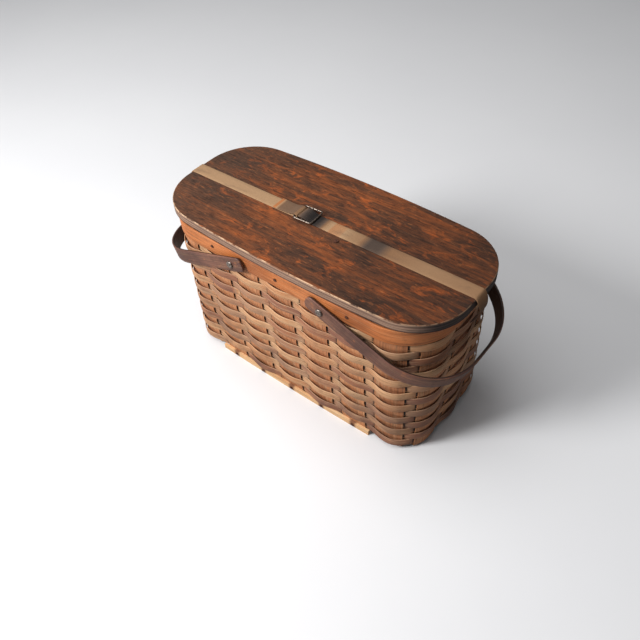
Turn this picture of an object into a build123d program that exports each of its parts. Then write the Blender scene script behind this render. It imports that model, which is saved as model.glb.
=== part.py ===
from build123d import *
import math
import os

# Insulated picnic basket: +X runs along the length, -Y is the front, +Z is up, the floor is at zero.

# Clearance between pieces that lie against each other
fit_gap = 0.3

# Stakes
stake_thickness = 1.2
stake_width = 41.4
stake_gap = 17.0
stake_pitch = stake_width + stake_gap
stake_foot = 3.0
cross_stake_count = 7
corner_stake_width = 38.3
corner_stake_inner = stake_width / 2 + stake_gap
corner_stake_outer = corner_stake_inner + corner_stake_width
half_stake = stake_thickness / 2
floor_weave_gap = 0.4
floor_middle = stake_foot + half_stake
floor_step = stake_thickness + floor_weave_gap

# Runners, their faces as offsets from the wall line
runner_height = 9.0
runner_end_cut = 2.0
runner_length = stake_pitch * (cross_stake_count - 2) - runner_end_cut
runner_inner = 0.9
runner_outer = 4.9

# Weavers
course_count = 16
weaver_height = 12.4
weaver_gap = 0.8
weaver_foot_gap = 0.4
weaver_thickness = 1.0
weaver_offset = 2.1
weaver_bulge = 3.6
weaver_inner_bulge = 0.5
weaver_overrun = 0.4
course_pitch = weaver_height + weaver_gap
first_course_height = runner_height + weaver_foot_gap + weaver_height / 2
weave_top = first_course_height + course_pitch * (course_count - 1) + weaver_height / 2

# Rim hoops, their faces as offsets from the wall line
band_height = 24.5
band_clear = 1.7
band_bottom = weave_top + band_clear
band_inner = 1.0
band_outer = 4.0
stake_top = band_bottom + band_height
hoop_step = 2.0
hoop_bottom = band_bottom + hoop_step
hoop_inner = -3.9
hoop_outer = -0.9

# Wall line: the middle of the upright stakes, at the rim and at the floor
rim_rise = 1.6
end_margin = 50.5
side_margin = 26.1
end_taper = 8.8
side_taper = 6.5
corner_taper = 29.4
side_bow = 3.7
rim_height = stake_top + rim_rise
rim_half_length = stake_pitch * (cross_stake_count - 1) / 2 + end_margin
rim_half_width = corner_stake_outer + side_margin
rim_corner = 72.4
foot_half_length = rim_half_length - end_taper
foot_half_width = rim_half_width - side_taper
foot_corner = rim_corner - corner_taper

# Insulation and liner
insulation_thickness = 11.0
insulation_outer = -5.6
insulation_inner = insulation_outer - insulation_thickness
insulation_floor_bottom = floor_middle + floor_step + half_stake + floor_weave_gap
insulation_floor_top = insulation_floor_bottom + insulation_thickness
sheet = 0.8
liner_outer = insulation_inner - fit_gap
liner_inner = liner_outer - sheet
liner_flange_bottom = stake_top + fit_gap
liner_flange_outer = 0.8

# Lid
lid_end_overhang = 14.3
lid_side_overhang = 5.5
lid_corner_growth = 4.6
lid_half_length = rim_half_length + lid_end_overhang
lid_half_width = rim_half_width + lid_side_overhang
lid_bow = 12.2
lid_corner = rim_corner + lid_corner_growth
lid_thickness = 13.2
lid_edge_round = 1.6
pan_sheet = 0.6
pan_clear = 1.8
pan_depth = 19.4
pan_outer = liner_inner - pan_clear
pan_flange_outer = -6.0
pan_flange_bottom = liner_flange_bottom + sheet + fit_gap
pan_bottom = pan_flange_bottom - pan_depth
lid_bottom = pan_flange_bottom + pan_sheet + fit_gap
lid_top = lid_bottom + lid_thickness
lid_rivet_x = 37.4
lid_rivet_y = -22.5
lid_rivet_radius = 3.3
lid_rivet_height = 1.0
lid_rivet_shank = 1.3
lid_rivet_depth = 6.0

# Strap and buckle, measured along the strap
strap_width = 22.0
strap_thickness = 1.6
strap_y = -3.5
strap_turn = 0.8
strap_lift = 0.1
strap_inset = 0.5
tail_bow = 7.0
tail_tuck = 7.4
tail_drop = 37.3
tail_foot_width = 9.0
tail_taper_rise = 1.7
strap_end = lid_half_length - strap_inset
tail_bulge = lid_half_length + tail_bow
tail_foot = lid_half_length - tail_tuck
tail_foot_height = lid_bottom - tail_drop
tail_taper_top = lid_bottom + tail_taper_rise
buckle_left = -42.5
buckle_length = 32.0
buckle_right = buckle_left + buckle_length
centre_bar_step = 15.0
buckle_centre_bar = buckle_left + centre_bar_step
buckle_bar = 2.4
buckle_side = 5.0
buckle_width = strap_width + 2 * buckle_side
buckle_turn = 3.0
buckle_shift = 1.3
buckle_lift = 0.6
flap_length = 36.5
flap_slope = 7.5
flap_end = buckle_left - flap_length
flap_step = buckle_left - flap_slope

# Handles
pivot_step = 19.6
pivot_drop = 20.0
handle_overhang = 42.3
handle_side_clear = 0.2
pivot_x = stake_pitch + pivot_step
pivot_height = stake_top - pivot_drop
handle_reach = rim_half_length - pivot_x + handle_overhang
handle_tail = 24.0
handle_inner_y = lid_half_width + handle_side_clear
handle_thickness = 3.8
handle_width = 22.6
handle_corner = 90.0
handle_tip_round = 8.0
handle_droop = 20.0

# Rivets and nails
rivet_shank = 2.5
rivet_hole = rivet_shank + 0.08
rivet_head_radius = 5.5
rivet_head_height = 2.2
rivet_head_round = 1.5
burr_radius = 4.5
burr_thickness = 1.0
burr_gap = 0.2
washer_radius = 7.0
nail_head_radius = 2.4
nail_head_thickness = 0.8
nail_shank = 0.9
nail_hole = nail_shank + 0.05
nail_seat = 0.3
rim_nail_drop = 11.0
rim_nail_height = stake_top - rim_nail_drop
runner_nail_height = runner_height / 2

# Cutting tools are larger than the basket, or stand out past the cut
reach = 600.0
overcut = 1.0


def wall_sizes(height, offset):
    """Half length, half width and corner radius of the wall line at a height, grown by an offset."""
    share = height / rim_height
    half_length = foot_half_length + (rim_half_length - foot_half_length) * share
    half_width = foot_half_width + (rim_half_width - foot_half_width) * share
    corner = foot_corner + (rim_corner - foot_corner) * share
    return half_length + offset, half_width + offset, corner + offset


def rounded_outline(half_length, half_width, bow, corner):
    """Face with bowed long sides, straight ends and round corners."""
    end_half_width = half_width - bow
    with BuildSketch(mode=Mode.PRIVATE) as outline:
        with BuildLine():
            front = ThreePointArc(
                (-half_length, -end_half_width), (0, -half_width), (half_length, -end_half_width)
            )
            right = Line(front @ 1, (half_length, end_half_width))
            back = ThreePointArc(right @ 1, (0, half_width), (-half_length, end_half_width))
            Line(back @ 1, front @ 0)
        make_face()
        fillet(outline.vertices(), corner)
    return outline.sketch


def wall_outline(height, offset):
    half_length, half_width, corner = wall_sizes(height, offset)
    return rounded_outline(half_length, half_width, side_bow, corner)


def wall_block(bottom, top, offset):
    """Solid block that follows the wall's taper between two heights."""
    with BuildPart() as block:
        for height in (bottom, top):
            with BuildSketch(Plane.XY.offset(height)):
                add(wall_outline(height, offset))
        loft(ruled=True)
    return block.part


def wall_ring(bottom, top, inner, outer):
    """Hoop that follows the wall's taper, open at the top and the bottom."""
    with BuildPart() as ring:
        add(wall_block(bottom, top, outer))
        add(wall_block(bottom - overcut, top + overcut, inner), mode=Mode.SUBTRACT)
    return ring.part


def side_point(height, offset, x, side):
    """Point of the front or back wall at a place along the length, with the wall's outward normal."""
    half_length, half_width, corner = wall_sizes(height, 0)
    arc_radius = (half_length**2 + side_bow**2) / (2 * side_bow)
    arc_centre = arc_radius - half_width
    corner_x = half_length - corner
    corner_y = math.sqrt((arc_radius - corner) ** 2 - corner_x**2) - arc_centre
    if abs(x) <= corner_x * arc_radius / (arc_radius - corner):
        across = math.sqrt(arc_radius**2 - x**2)
        normal = (x / arc_radius, across / arc_radius)
        point = (x, across - arc_centre)
    else:
        along = abs(x) - corner_x
        across = math.sqrt(corner**2 - along**2)
        normal = (math.copysign(along / corner, x), across / corner)
        point = (x, corner_y + across)
    return (point[0] + normal[0] * offset, side * (point[1] + normal[1] * offset))


def end_point(height, offset, y, end):
    """Point of an end wall at a place across the width."""
    half_length, half_width, corner = wall_sizes(height, 0)
    arc_radius = (half_length**2 + side_bow**2) / (2 * side_bow)
    corner_x = half_length - corner
    corner_y = math.sqrt((arc_radius - corner) ** 2 - corner_x**2) - (arc_radius - half_width)
    if abs(y) <= corner_y:
        return (end * (half_length + offset), y)
    across = abs(y) - corner_y
    along = math.sqrt(corner**2 - across**2)
    grown = (corner + offset) / corner
    return (end * (corner_x + along * grown), math.copysign(corner_y + across * grown, y))


def export(builder, name):
    builder.part.label = name
    export_step(builder.part, "parts/" + name + ".step")


os.makedirs("parts", exist_ok=True)

stake_centres = [stake_pitch * (i - (cross_stake_count - 1) / 2) for i in range(cross_stake_count)]
stake_ring = wall_ring(stake_foot, stake_top, -half_stake, half_stake)
rivet_spots = [(-pivot_x, pivot_height), (pivot_x, pivot_height)]

# Cross stakes: up the front wall, under the floor and up the back wall
with BuildPart() as cross_tub:
    add(stake_ring)
    with BuildSketch(Plane.XY.offset(stake_foot)):
        add(wall_outline(stake_foot, 0))
    extrude(amount=stake_thickness)
for number, centre in enumerate(stake_centres, start=1):
    with BuildPart() as cross_stake:
        add(cross_tub.part)
        with Locations((centre, 0, 0)):
            Box(stake_width, reach, reach, mode=Mode.INTERSECT)
        with BuildSketch(Plane.XZ):
            with Locations(*rivet_spots):
                Circle(rivet_hole)
        extrude(amount=reach / 2, both=True, mode=Mode.SUBTRACT)
    export(cross_stake, f"stake_cross_{number}")

# Long stakes: over and under the cross stakes along the floor, and up both end walls
stake_clear = stake_width / 2 + 2 * weaver_overrun
long_stake_bands = {
    "stake_long_front": (-corner_stake_outer, -corner_stake_inner),
    "stake_long_middle": (-stake_width / 2, stake_width / 2),
    "stake_long_back": (corner_stake_inner, corner_stake_outer),
}
for number, (name, band) in enumerate(long_stake_bands.items()):
    wave = []
    for i, centre in enumerate(stake_centres):
        level = floor_middle + floor_step * (-1) ** (i + number)
        wave.append((centre - stake_clear, level))
        wave.append((centre + stake_clear, level))
    flat_start = stake_centres[-1] + stake_clear + stake_gap / 2
    wave.insert(0, (-flat_start, floor_middle))
    wave.insert(0, (-reach / 2, floor_middle))
    wave.append((flat_start, floor_middle))
    wave.append((reach / 2, floor_middle))
    outline = [(x, z - half_stake) for x, z in wave] + [(x, z + half_stake) for x, z in reversed(wave)]
    with BuildPart() as long_stake:
        with BuildSketch(Plane.XZ):
            with BuildLine():
                Polyline(*outline, close=True)
            make_face()
        extrude(amount=reach / 2, both=True)
        add(wall_block(-stake_foot, stake_top, 0), mode=Mode.INTERSECT)
        add(stake_ring)
        with Locations((0, (band[0] + band[1]) / 2, 0)):
            Box(reach, band[1] - band[0], reach, mode=Mode.INTERSECT)
    export(long_stake, name)

# Columns that the weavers pass, in order round the basket from the front left
columns = [("side", centre, -1) for centre in stake_centres]
corner_column = (corner_stake_inner + corner_stake_outer) / 2
columns += [("end", y, 1) for y in (-corner_column, 0, corner_column)]
columns += [("side", centre, 1) for centre in reversed(stake_centres)]
columns += [("end", y, -1) for y in (corner_column, 0, -corner_column)]


def column_points(column, height, outside, shift):
    """Five points of a weaver's pass over or behind one stake."""
    kind, centre, sign = column
    half = stake_width / 2 if kind == "side" or centre == 0 else corner_stake_width / 2
    half += weaver_overrun
    step = half if (kind, sign) in (("side", -1), ("end", 1)) else -half
    points = []
    for share in (-1, -0.5, 0, 0.5, 1):
        if outside:
            offset = weaver_offset + weaver_bulge * (1 - share**2)
        else:
            offset = -weaver_offset - weaver_inner_bulge * (1 - share**2)
        place = centre + step * share
        if kind == "side":
            points.append(side_point(height, offset + shift, place, sign))
        else:
            points.append(end_point(height, offset + shift, place, sign))
    return points


def weaver_outline(height, course, shift):
    """Area inside a weaver ring's outer or inner face."""
    with BuildSketch(mode=Mode.PRIVATE) as outline:
        with BuildLine():
            previous = None
            for index, column in enumerate(columns):
                outside = (index + course) % 2 == 0
                points = column_points(column, height, outside, shift)
                if previous:
                    Line(previous, points[0])
                ThreePointArc(*points[0:3])
                ThreePointArc(*points[2:5])
                previous = points[4]
                if index == 0:
                    first = points[0]
            Line(previous, first)
        make_face()
    return outline.sketch


# Weavers: one closed wavy ring per course
for course in range(course_count):
    height = first_course_height + course_pitch * course
    with BuildPart() as weaver:
        with BuildSketch(Plane.XY.offset(height - weaver_height / 2)):
            add(weaver_outline(height, course, weaver_thickness / 2))
            add(weaver_outline(height, course, -weaver_thickness / 2), mode=Mode.SUBTRACT)
        extrude(amount=weaver_height)
    export(weaver, f"weaver_{course + 1:02d}")

# Rim band and inner hoop, drilled for the handle rivets
rim_nail_sides = [-2 * stake_pitch, 0, 2 * stake_pitch]
with BuildPart() as rim_band:
    add(wall_ring(band_bottom, stake_top, band_inner, band_outer))
    with BuildSketch(Plane.XZ):
        with Locations(*rivet_spots):
            Circle(rivet_hole)
        with Locations(*[(x, rim_nail_height) for x in rim_nail_sides]):
            Circle(nail_hole)
    extrude(amount=reach / 2, both=True, mode=Mode.SUBTRACT)
    with BuildSketch(Plane.YZ):
        with Locations((0, rim_nail_height)):
            Circle(nail_hole)
    extrude(amount=reach / 2, both=True, mode=Mode.SUBTRACT)
export(rim_band, "rim_band")

with BuildPart() as inner_hoop:
    add(wall_ring(hoop_bottom, stake_top, hoop_inner, hoop_outer))
    with BuildSketch(Plane.XZ):
        with Locations(*rivet_spots):
            Circle(rivet_hole)
    extrude(amount=reach / 2, both=True, mode=Mode.SUBTRACT)
export(inner_hoop, "inner_hoop")

# Nails: a flat head on the wood and a shank through it
rim_wood = band_outer - band_inner
runner_wood = runner_outer - runner_inner


def nail(plane, shank):
    """One nail whose head stands out along the plane's normal."""
    with BuildPart(mode=Mode.PRIVATE) as one_nail:
        with BuildSketch(plane.offset(nail_seat)):
            Circle(nail_head_radius)
        extrude(amount=nail_head_thickness)
        with BuildSketch(plane.offset(nail_seat)):
            Circle(nail_shank)
        extrude(amount=-shank)
    return one_nail.part


with BuildPart() as rim_nails:
    for side in (-1, 1):
        for x in rim_nail_sides:
            wall_y = side_point(rim_nail_height, band_outer, x, side)[1]
            add(nail(Plane(origin=(x, wall_y, rim_nail_height), z_dir=(0, side, 0)), rim_wood))
        spot = end_point(rim_nail_height, band_outer, 0, side)
        add(nail(Plane(origin=(*spot, rim_nail_height), z_dir=(side, 0, 0)), rim_wood))
export(rim_nails, "rim_nails")

# Runners under the front and back walls
runner_nail_places = stake_centres[1:-1]
with BuildPart() as runner_front:
    add(wall_ring(0, runner_height, runner_inner, runner_outer))
    with Locations((0, -reach / 2, 0)):
        Box(runner_length, reach, reach, mode=Mode.INTERSECT)
    with BuildSketch(Plane.XZ):
        with Locations(*[(x, runner_nail_height) for x in runner_nail_places]):
            Circle(nail_hole)
    extrude(amount=reach / 2, mode=Mode.SUBTRACT)
export(runner_front, "runner_front")

with BuildPart() as runner_back:
    mirror(runner_front.part, about=Plane.XZ)
export(runner_back, "runner_back")

with BuildPart() as runner_nails:
    for side in (-1, 1):
        for x in runner_nail_places:
            wall_y = side_point(runner_nail_height, runner_outer, x, side)[1]
            add(nail(Plane(origin=(x, wall_y, runner_nail_height), z_dir=(0, side, 0)), runner_wood))
export(runner_nails, "runner_nails")

# Insulation: a floor slab and a wall that stands on it
with BuildPart() as insulation_floor:
    add(wall_block(insulation_floor_bottom, insulation_floor_top, insulation_outer))
export(insulation_floor, "insulation_floor")

insulation_wall_bottom = insulation_floor_top + fit_gap
with BuildPart() as insulation_wall:
    add(wall_ring(insulation_wall_bottom, stake_top, insulation_inner, insulation_outer))
export(insulation_wall, "insulation_wall")

# Liner tub with a flange over the rim
with BuildPart() as liner_tub:
    add(wall_block(insulation_wall_bottom, liner_flange_bottom, liner_outer))
    with BuildSketch(Plane.XY.offset(liner_flange_bottom)):
        add(wall_outline(liner_flange_bottom, liner_flange_outer))
    extrude(amount=sheet)
    hollow_bottom = insulation_wall_bottom + sheet
    hollow_top = liner_flange_bottom + 2 * sheet
    add(wall_block(hollow_bottom, hollow_top, liner_inner), mode=Mode.SUBTRACT)
export(liner_tub, "liner_tub")

# Lid pan: a sheet-metal tray with a flange under the board
with BuildPart() as lid_pan:
    with BuildSketch(Plane.XY.offset(pan_bottom)):
        add(wall_outline(pan_bottom, pan_outer))
    extrude(amount=pan_flange_bottom - pan_bottom)
    with BuildSketch(Plane.XY.offset(pan_flange_bottom)):
        add(wall_outline(rim_height, pan_flange_outer))
    extrude(amount=pan_sheet)
    with BuildSketch(Plane.XY.offset(pan_bottom + pan_sheet)):
        add(wall_outline(pan_bottom, pan_outer - pan_sheet))
    extrude(amount=lid_bottom - pan_bottom, mode=Mode.SUBTRACT)
export(lid_pan, "lid_pan")

with BuildPart() as lid_insulation:
    with BuildSketch(Plane.XY.offset(pan_bottom + pan_sheet + fit_gap)):
        add(wall_outline(pan_bottom, pan_outer - pan_sheet - fit_gap))
    extrude(amount=lid_bottom - pan_bottom - pan_sheet - 2 * fit_gap)
export(lid_insulation, "lid_insulation")

# Lid board
with BuildPart() as lid_board:
    with BuildSketch(Plane.XY.offset(lid_bottom)):
        add(rounded_outline(lid_half_length, lid_half_width, lid_bow, lid_corner))
    extrude(amount=lid_thickness)
    fillet(lid_board.edges().group_by(Axis.Z)[-1], lid_edge_round)
    with BuildSketch(Plane.XY.offset(lid_top)):
        with Locations((lid_rivet_x, lid_rivet_y)):
            Circle(lid_rivet_shank + nail_hole - nail_shank)
    extrude(amount=-lid_rivet_depth - fit_gap, mode=Mode.SUBTRACT)
export(lid_board, "lid_board")

with BuildPart() as lid_rivet:
    with BuildSketch(Plane.XY.offset(lid_top + nail_seat)):
        with Locations((lid_rivet_x, lid_rivet_y)):
            Circle(lid_rivet_radius)
    extrude(amount=lid_rivet_height)
    with BuildSketch(Plane.XY.offset(lid_top + nail_seat)):
        with Locations((lid_rivet_x, lid_rivet_y)):
            Circle(lid_rivet_shank)
    extrude(amount=-lid_rivet_depth)
export(lid_rivet, "lid_rivet")

# Strap: its own plane, whose X runs along the strap and whose Y is up
turn = math.radians(strap_turn)
strap_plane = Plane(
    origin=(0, strap_y, 0),
    x_dir=(math.cos(turn), math.sin(turn), 0),
    z_dir=(math.sin(turn), -math.cos(turn), 0),
)
strap_low = lid_top + strap_lift
strap_high = strap_low + strap_thickness
bar_low = strap_high + buckle_lift
bar_high = bar_low + buckle_bar
over_low = bar_high + fit_gap
over_high = over_low + strap_thickness
flap_low = strap_high + fit_gap
flap_high = flap_low + strap_thickness
tail_edge = lid_half_length + fit_gap


def tail_outline(end):
    """Inner and outer points of the strap's end, over the lid's edge and down, from the top outwards."""
    outer = [
        (strap_end, strap_high),
        (tail_edge + strap_thickness, strap_high - strap_thickness / 2),
        (tail_bulge, lid_bottom),
        (tail_bulge, lid_bottom - lid_thickness / 2),
        (tail_foot + strap_thickness, tail_foot_height),
    ]
    inner = [
        (tail_foot, tail_foot_height),
        (tail_bulge - strap_thickness, lid_bottom - lid_thickness / 2),
        (tail_bulge - strap_thickness, lid_bottom),
        (tail_edge, strap_low),
        (strap_end, strap_low),
    ]
    return [(end * x, z) for x, z in outer + inner]


half_strap = strap_width / 2
strap_left_points = tail_outline(-1) + [
    (buckle_left + 3 * buckle_bar, strap_low),
    (buckle_left + 3 * buckle_bar, over_high),
    (buckle_left - buckle_bar, over_high),
    (flap_step, flap_high),
    (flap_end, flap_high),
    (flap_end, flap_low),
    (flap_step, flap_low),
    (buckle_left - buckle_bar, over_low),
    (buckle_left + 2 * buckle_bar, over_low),
    (buckle_left + 2 * buckle_bar, strap_high),
]
strap_right_points = list(reversed(tail_outline(1))) + [
    (buckle_right - buckle_bar, strap_high),
    (buckle_centre_bar + 2 * buckle_bar, over_high),
    (buckle_left + 4 * buckle_bar, over_high),
    (buckle_left + 4 * buckle_bar, over_low),
    (buckle_centre_bar + buckle_bar, over_low),
    (buckle_right - 2 * buckle_bar, strap_low),
]
for name, points, end in (("strap_left", strap_left_points, -1), ("strap_right", strap_right_points, 1)):
    tail_y = strap_y + end * tail_edge * math.sin(turn)
    with BuildPart() as strap:
        with BuildSketch(strap_plane):
            with BuildLine():
                Polyline(*points, close=True)
            make_face()
        extrude(amount=half_strap, both=True)
        for edge in (-1, 1):
            with BuildSketch(Plane.YZ):
                with BuildLine():
                    Polyline(
                        (tail_y + edge * strap_width, tail_taper_top),
                        (tail_y + edge * half_strap, tail_taper_top),
                        (tail_y + edge * tail_foot_width / 2, tail_foot_height - overcut),
                        (tail_y + edge * strap_width, tail_foot_height - overcut),
                        close=True,
                    )
                make_face()
            extrude(amount=reach / 2, both=True, mode=Mode.SUBTRACT)
    export(strap, name)

# Buckle frame: two ends, two sides and a centre bar, turned a little from the strap
buckle_middle = (buckle_left + buckle_right) / 2
buckle_y = strap_y + buckle_middle * math.sin(turn) + buckle_shift
buckle_angle = math.radians(buckle_turn)
buckle_plane = Plane(
    origin=(buckle_middle, buckle_y, bar_low), x_dir=(math.cos(buckle_angle), math.sin(buckle_angle), 0)
)
with BuildPart() as buckle_frame:
    with BuildSketch(buckle_plane):
        RectangleRounded(buckle_length, buckle_width, buckle_bar)
        Rectangle(buckle_length - 2 * buckle_bar, buckle_width - 2 * buckle_bar, mode=Mode.SUBTRACT)
        with Locations((buckle_centre_bar - buckle_middle, 0)):
            Rectangle(buckle_bar, buckle_width - buckle_bar)
    extrude(amount=buckle_bar)
export(buckle_frame, "buckle_frame")

# Handles: a flat strip bent to a hoop, drilled for its rivets and folded down round the end
handle_outer_y = handle_inner_y + handle_thickness
droop = math.radians(handle_droop)
for name, end in (("handle_left", -1), ("handle_right", 1)):
    handle_plane = Plane(
        origin=(end * pivot_x, 0, pivot_height),
        x_dir=(end * math.cos(droop), 0, -math.sin(droop)),
        z_dir=(end * math.sin(droop), 0, math.cos(droop)),
    )
    with BuildPart() as handle:
        with BuildSketch(handle_plane):
            for half_width, far, corner, mode in (
                (handle_outer_y, handle_reach, handle_corner, Mode.ADD),
                (handle_inner_y, handle_reach - handle_thickness, handle_corner - handle_thickness, Mode.SUBTRACT),
            ):
                near = -handle_tail if mode == Mode.ADD else -handle_tail - far
                with BuildSketch(mode=Mode.PRIVATE) as hoop:
                    with Locations(((near + far) / 2, 0)):
                        Rectangle(far - near, 2 * half_width)
                    fillet(hoop.vertices().group_by(Axis.X)[-1], corner)
                add(hoop.sketch, mode=mode)
        extrude(amount=handle_width / 2, both=True)
        tips = handle.edges().filter_by(Axis.Y).filter_by(lambda e: e.length < 2 * handle_thickness)
        fillet(tips, handle_tip_round)
        with BuildSketch(Plane.XZ):
            with Locations((end * pivot_x, pivot_height)):
                Circle(rivet_hole)
        extrude(amount=reach / 2, both=True, mode=Mode.SUBTRACT)
    export(handle, name)

# Rivets and washers at the four pivots
pivot_wall = abs(side_point(pivot_height, band_outer, pivot_x, 1)[1])
hoop_face = abs(side_point(pivot_height, hoop_inner, pivot_x, 1)[1])
washer_start = pivot_wall + fit_gap
washer_thickness = handle_inner_y - washer_start - fit_gap
head_start = handle_outer_y + burr_gap
with BuildPart() as rivet_washers:
    for end, height in rivet_spots:
        for side in (-1, 1):
            with BuildSketch(Plane(origin=(end, side * washer_start, height), z_dir=(0, side, 0))):
                Circle(washer_radius)
                Circle(rivet_hole, mode=Mode.SUBTRACT)
            extrude(amount=washer_thickness)
export(rivet_washers, "rivet_washers")

with BuildPart() as handle_rivets:
    for end, height in rivet_spots:
        for side in (-1, 1):
            with BuildSketch(Plane(origin=(end, side * head_start, height), z_dir=(0, side, 0))):
                Circle(rivet_head_radius)
            extrude(amount=rivet_head_height)
            with BuildSketch(Plane(origin=(end, side * (hoop_face - burr_gap), height), z_dir=(0, side, 0))):
                Circle(rivet_shank)
            extrude(amount=head_start - hoop_face + 2 * burr_gap)
            with BuildSketch(Plane(origin=(end, side * (hoop_face - burr_gap), height), z_dir=(0, side, 0))):
                Circle(burr_radius)
            extrude(amount=-burr_thickness)
    heads = handle_rivets.edges().filter_by(GeomType.CIRCLE).group_by(SortBy.RADIUS)[-1]
    outer_heads = heads.filter_by(lambda e: abs(e.center().Y) > head_start + rivet_head_height / 2)
    fillet(outer_heads, rivet_head_round)
export(handle_rivets, "handle_rivets")
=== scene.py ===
import functools
import math

import bmesh
import bpy
import numpy as np
from mathutils import Matrix, Vector


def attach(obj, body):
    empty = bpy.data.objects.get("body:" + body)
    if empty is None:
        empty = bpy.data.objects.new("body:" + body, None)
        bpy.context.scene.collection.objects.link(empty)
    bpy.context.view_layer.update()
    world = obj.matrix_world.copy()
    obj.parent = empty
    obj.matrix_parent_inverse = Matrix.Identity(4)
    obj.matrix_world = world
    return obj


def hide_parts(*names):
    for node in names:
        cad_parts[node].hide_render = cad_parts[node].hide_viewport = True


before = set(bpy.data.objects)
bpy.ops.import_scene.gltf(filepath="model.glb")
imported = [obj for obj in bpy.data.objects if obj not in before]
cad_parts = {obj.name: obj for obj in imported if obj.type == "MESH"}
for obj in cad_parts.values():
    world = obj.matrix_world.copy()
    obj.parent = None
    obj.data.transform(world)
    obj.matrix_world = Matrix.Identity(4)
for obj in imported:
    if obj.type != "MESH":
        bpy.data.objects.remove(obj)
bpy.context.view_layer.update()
chance = np.random.default_rng(7)
mm = 0.001

# The basket's sizes in millimetres, as in the solids
rim_height = 247.6
side_bow = 3.7
stake_pitch = 58.4
stake_half = 20.7
corner_inner, corner_outer = 37.7, 76.0
course_count = 16
first_course, course_pitch = 15.6, 13.2
lid_bottom, lid_top = 248.3, 261.5

# The wall line's half length, half width and corner radius, at the floor and at the rim
foot = (216.9, 95.6, 43.0)
rim = (225.7, 102.1, 72.4)
loop_points = 2400


def wall_sizes(height):
    """Half length, half width and corner radius of the wall line at a height."""
    share = height / rim_height
    return [a + (b - a) * share for a, b in zip(foot, rim)]


@functools.lru_cache(maxsize=None)
def wall_loop(height):
    """Even points round the wall line from the front's middle on, their outward normals, and its length."""
    half_length, half_width, corner = wall_sizes(height)
    arc = (half_length**2 + side_bow**2) / (2 * side_bow)
    corner_x = half_length - corner
    corner_y = math.sqrt((arc - corner) ** 2 - corner_x**2) - (arc - half_width)
    tilt = math.asin(corner_x / (arc - corner))
    side_run = arc * tilt
    corner_end = side_run + corner * (math.pi / 2 - tilt)
    quarter = corner_end + corner_y
    run = np.arange(loop_points) * 4 * quarter / loop_points
    turn = (run // quarter).astype(int)
    t = run - turn * quarter
    t = np.where(turn % 2 == 1, quarter - t, t)
    angle = np.where(t < side_run, t / arc, np.minimum(tilt + (t - side_run) / corner, math.pi / 2))
    x = np.where(t < side_run, arc * np.sin(angle), corner_x + corner * np.sin(angle))
    side_y = arc * np.cos(angle) - (arc - half_width)
    y = np.where(t < side_run, side_y, corner_y + corner * np.cos(angle))
    y = np.where(t > corner_end, quarter - t, y)
    flips = np.column_stack([np.where(turn < 2, 1, -1), np.where((turn == 0) | (turn == 3), -1, 1)])
    normals = np.column_stack([np.sin(angle), np.cos(angle)]) * flips
    return np.column_stack([x, y]) * flips, normals, 4 * quarter


def section(width, thickness, round_edge):
    """Cross section of a flat strip: (across, outward) pairs, with softened edges."""
    w, t = width / 2, thickness / 2
    r = min(round_edge, t)
    pairs = []
    corners = ((w - r, t - r, 0), (-w + r, t - r, 90), (-w + r, -t + r, 180), (w - r, -t + r, 270))
    for cx, cy, start in corners:
        for step in (0, 45, 90):
            a = math.radians(start + step)
            pairs.append((cx + r * math.cos(a), cy + r * math.sin(a)))
        if start in (0, 180):
            face = t if start == 0 else -t
            pairs += [(cx * share, face) for share in (0.5, 0, -0.5)]
    return pairs


# Edges sharper than this stay sharp
sharp_angle = math.radians(50)

# How many widths across a strip's inner face lies in its 'strip' coordinates
inner_face_shift = 1.3


def mesh_object(name, verts, faces, uvs, marks):
    """A smooth mesh with 'strip' coordinates and, for each name in marks, a number at each point."""
    mesh = bpy.data.meshes.new(name)
    mesh.from_pydata([tuple(v) for v in verts], [], faces)
    layer = mesh.uv_layers.new(name="strip")
    index = np.empty(len(mesh.loops), dtype=np.int32)
    mesh.loops.foreach_get("vertex_index", index)
    layer.data.foreach_set("uv", np.asarray(uvs, dtype=np.float32)[index].ravel())
    for mark, values in marks.items():
        attribute = mesh.attributes.new(mark, "FLOAT", "POINT")
        attribute.data.foreach_set("value", np.asarray(values, dtype=np.float32))
    mesh.update()
    obj = bpy.data.objects.new(name, mesh)
    bpy.context.scene.collection.objects.link(obj)
    mesh.polygons.foreach_set("use_smooth", [True] * len(mesh.polygons))
    mesh.set_sharp_from_angle(angle=sharp_angle)
    return obj


def ribbon(name, path, across, outward, width, thickness, closed=False, round_edge=0.3, cup=0.0, **marks):
    """A flat strip bent along a path, all in mm. Its width may change from point to point.

    cup is how far the middle of the strip stands out from its edges. A closed strip's path ends where it
    starts."""
    path, across, outward = [np.asarray(rows, float) for rows in (path, across, outward)]
    count = len(path)
    width = np.broadcast_to(width, count)
    cup = np.broadcast_to(cup, count)
    run = np.concatenate([[0], np.cumsum(np.linalg.norm(np.diff(path, axis=0), axis=1))])
    verts, uvs = [], []
    for i in range(count):
        ring = section(width[i], thickness, round_edge)
        for a, o in ring:
            rise = cup[i] * (1 - (2 * a / width[i]) ** 2)
            verts.append((path[i] + across[i] * a + outward[i] * (o + rise)) * mm)
            shift = 0 if o > 0 else width[i] * inner_face_shift
            uvs.append((run[i] * mm, (a + shift) * mm))
    around = len(ring)
    marks = {mark: np.repeat(values, around) for mark, values in marks.items()}
    faces = []
    for i in range(count - 1):
        for k in range(around):
            m = (k + 1) % around
            faces.append((i * around + k, (i + 1) * around + k, (i + 1) * around + m, i * around + m))
    if not closed:
        faces.append(tuple(range(around)))
        faces.append(tuple(reversed(range((count - 1) * around, count * around))))
    obj = mesh_object(name, verts, faces, uvs, marks)
    fix_normals(obj)
    return obj


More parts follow.
